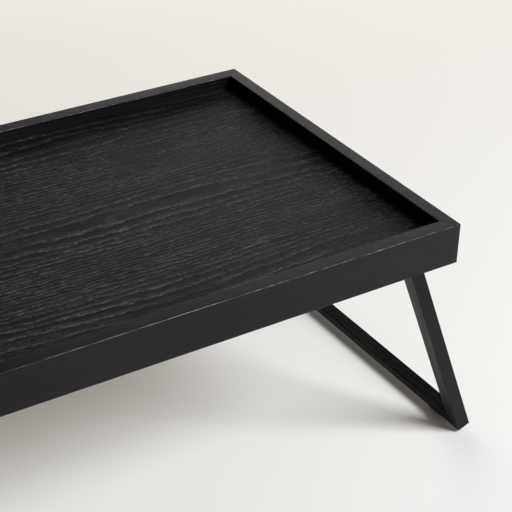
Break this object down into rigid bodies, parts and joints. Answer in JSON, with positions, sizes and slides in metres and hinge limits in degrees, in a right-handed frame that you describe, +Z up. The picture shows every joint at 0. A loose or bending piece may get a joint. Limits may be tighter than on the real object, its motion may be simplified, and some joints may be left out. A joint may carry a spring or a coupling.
{
  "type": "folding tray table",
  "caption": "Rimmed rectangular tray in black-stained ash, standing on splayed leg frames that fold flat beneath it.",
  "frame": {"origin": "on the floor, below the middle of the tray, with both leg frames open", "axes": "+X along the tray's length, +Y towards the back, +Z up"},
  "size_m": [0.7016, 0.36, 0.246],
  "materials": {
    "stained_ash": "solid ash, black stain, satin lacquer, open grain",
    "brushed_veneer": "ash veneer, brushed along the grain, black stain, satin",
    "backing_veneer": "smooth veneer, black stain, matt",
    "plywood": "bare plywood",
    "beech": "bare beech",
    "black_steel": "black oxide, satin",
    "zinc_alloy": "die-cast zinc, satin",
    "nylon": "black nylon, matt",
    "rubber_pad": "black rubber, matt"
  },
  "bodies": {
    "tray": {"back_rail": "stained_ash", "block_screws_back_left": "black_steel", "block_screws_back_right": "black_steel", "block_screws_front_left": "black_steel", "block_screws_front_right": "black_steel", "front_rail": "stained_ash", "head_washer_back_left": "black_steel", "head_washer_back_right": "black_steel", "head_washer_front_left": "black_steel", "head_washer_front_right": "black_steel", "left_end_rail": "stained_ash", "mitre_dowels_back_left": "beech", "mitre_dowels_back_right": "beech", "mitre_dowels_front_left": "beech", "mitre_dowels_front_right": "beech", "panel_back_veneer": "backing_veneer", "panel_core": "plywood", "panel_face_veneer": "brushed_veneer", "pivot_bolt_back_left": "black_steel", "pivot_bolt_back_right": "black_steel", "pivot_bolt_front_left": "black_steel", "pivot_bolt_front_right": "black_steel", "pivot_insert_back_left": "zinc_alloy", "pivot_insert_back_right": "zinc_alloy", "pivot_insert_front_left": "zinc_alloy", "pivot_insert_front_right": "zinc_alloy", "right_end_rail": "stained_ash", "spacer_washer_back_left": "nylon", "spacer_washer_back_right": "nylon", "spacer_washer_front_left": "nylon", "spacer_washer_front_right": "nylon", "stop_block_back_left": "stained_ash", "stop_block_back_right": "stained_ash", "stop_block_front_left": "stained_ash", "stop_block_front_right": "stained_ash"},
    "left_leg_frame": {"foot_pad_back_left": "rubber_pad", "foot_pad_front_left": "rubber_pad", "foot_rail_dowels_back_left": "beech", "foot_rail_dowels_front_left": "beech", "foot_rail_left": "stained_ash", "leg_back_left": "stained_ash", "leg_front_left": "stained_ash"},
    "right_leg_frame": {"foot_pad_back_right": "rubber_pad", "foot_pad_front_right": "rubber_pad", "foot_rail_dowels_back_right": "beech", "foot_rail_dowels_front_right": "beech", "foot_rail_right": "stained_ash", "leg_back_right": "stained_ash", "leg_front_right": "stained_ash"}
  },
  "joints": [
    {"name": "right_leg_fold", "type": "hinge", "parent": "tray", "child": "right_leg_frame", "pos_m": [0.26202, 0, 0.22], "axis": [0, 1, 0], "range_deg": [0, 111]},
    {"name": "left_leg_fold", "type": "hinge", "parent": "tray", "child": "left_leg_frame", "pos_m": [-0.26202, 0, 0.22], "axis": [0, -1, 0], "range_deg": [0, 111]}
  ]
}
